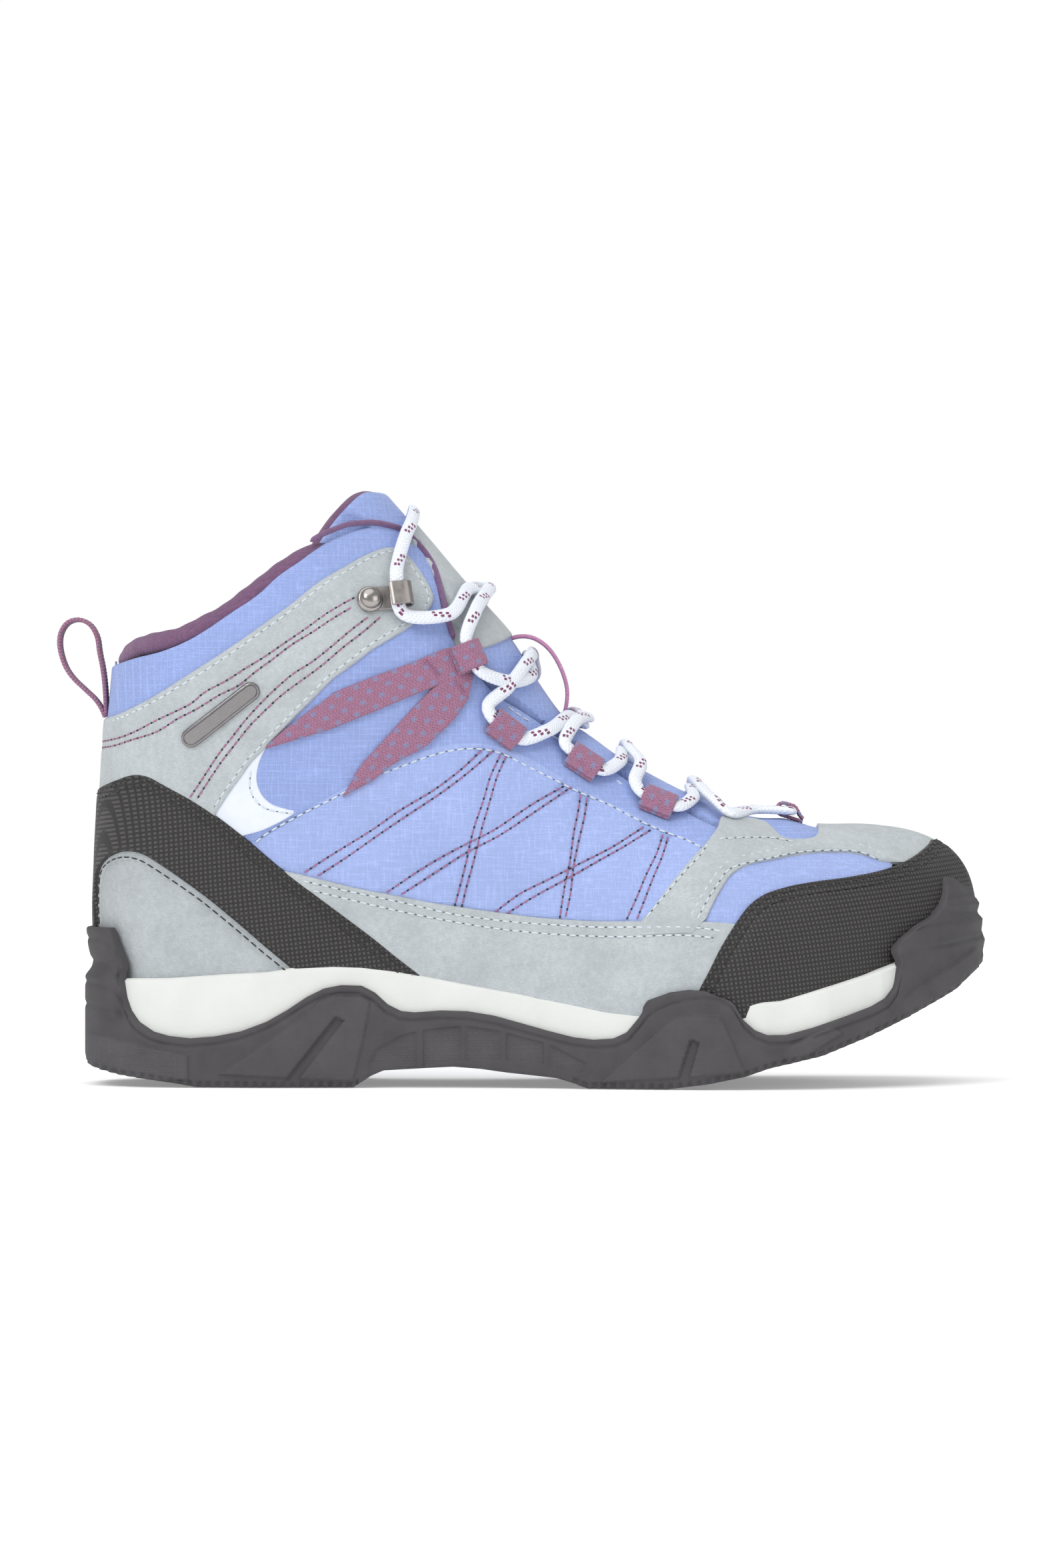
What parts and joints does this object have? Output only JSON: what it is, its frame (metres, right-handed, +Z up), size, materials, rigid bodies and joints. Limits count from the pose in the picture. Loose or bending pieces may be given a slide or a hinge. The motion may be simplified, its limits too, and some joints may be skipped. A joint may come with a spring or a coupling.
{
  "type": "hiking boot",
  "caption": "Mid-height hiking boot with a lugged sole, cupped toe and heel, webbing lace loops, a metal hook each side, a padded tongue and a pull loop.",
  "frame": {"origin": "on the ground under the heel lug, on the centre line of the heel", "axes": "+X from heel to toe, +Z up, +Y to the inner (medial) side; this is a right boot, so its outer side faces -Y"},
  "size_m": [0.2914, 0.1023, 0.1873],
  "materials": {
    "blue_ripstop": "ripstop weave",
    "blue_mesh": "dense knit",
    "suede": "suede",
    "heel_suede": "suede",
    "black_sheet": "fine texture",
    "white_sheet": "matte film",
    "purple_lining": "brushed",
    "binding": "woven tape",
    "webbing": "flecked webbing",
    "lace_yarn": "braided, flecked",
    "foam": "open cell foam",
    "board": "fibre board",
    "stiffener": "moulded",
    "shank_nylon": "moulded",
    "midsole_foam": "matte foam",
    "outsole_rubber": "moulded, textured",
    "pewter": "satin",
    "badge_metal": "dark satin",
    "keeper_web": "woven tape",
    "footbed_top": "brushed",
    "aglet_film": "clear film"
  },
  "bodies": {
    "upper": {"outsole": "outsole_rubber", "midsole": "midsole_foam", "shank": "shank_nylon", "lasting_board": "board", "heel_counter": "stiffener", "toe_puff": "stiffener", "collar_foam": "foam", "lining": "purple_lining", "quarter_lateral": "blue_mesh", "side_panel_lateral": "blue_ripstop", "quarter_medial": "blue_mesh", "side_panel_medial": "blue_ripstop", "vamp_textile": "blue_ripstop", "ankle_overlay_lateral": "suede", "mudguard_lateral": "suede", "accent_patch_lateral": "white_sheet", "heel_patch_lateral": "heel_suede", "ankle_overlay_medial": "suede", "mudguard_medial": "suede", "accent_patch_medial": "white_sheet", "heel_patch_medial": "heel_suede", "heel_frame": "black_sheet", "toe_overlay": "suede", "toe_cap": "black_sheet", "ghillie_strap_lateral": "webbing", "eyelet_loop_lateral_1": "webbing", "eyelet_loop_lateral_2": "webbing", "eyelet_loop_lateral_3": "webbing", "hook_lateral": "pewter", "rivet_lateral": "pewter", "edge_binding_lateral": "binding", "ghillie_strap_medial": "webbing", "eyelet_loop_medial_1": "webbing", "eyelet_loop_medial_2": "webbing", "eyelet_loop_medial_3": "webbing", "hook_medial": "pewter", "rivet_medial": "pewter", "edge_binding_medial": "binding", "badge_plate": "badge_metal", "toe_loop": "webbing", "lace": "lace_yarn", "aglet_1": "aglet_film", "aglet_2": "aglet_film"},
    "tongue": {"tongue_outer": "blue_mesh", "tongue_foam": "foam", "tongue_lining": "purple_lining", "tongue_patch": "suede", "tongue_keeper": "keeper_web"},
    "loop": {"pull_loop": "webbing"},
    "insole": {"footbed": "footbed_top"}
  },
  "joints": [
    {"name": "tongue_tilt", "type": "hinge", "parent": "upper", "child": "tongue", "pos_m": [0.17, 0, 0.0775], "axis": [0, 1, 0], "range_deg": [-1.2, 0], "deforming": ["tongue_outer", "tongue_foam", "tongue_lining", "tongue_patch"]},
    {"name": "pull_loop_swing", "type": "hinge", "parent": "upper", "child": "loop", "pos_m": [-0.0335, 0, 0.1172], "axis": [0, -1, 0], "range_deg": [0, 70]},
    {"name": "footbed_lift", "type": "hinge", "parent": "upper", "child": "insole", "pos_m": [0.226, 0, 0.0455], "axis": [0, 1, 0], "range_deg": [0, 4]}
  ]
}
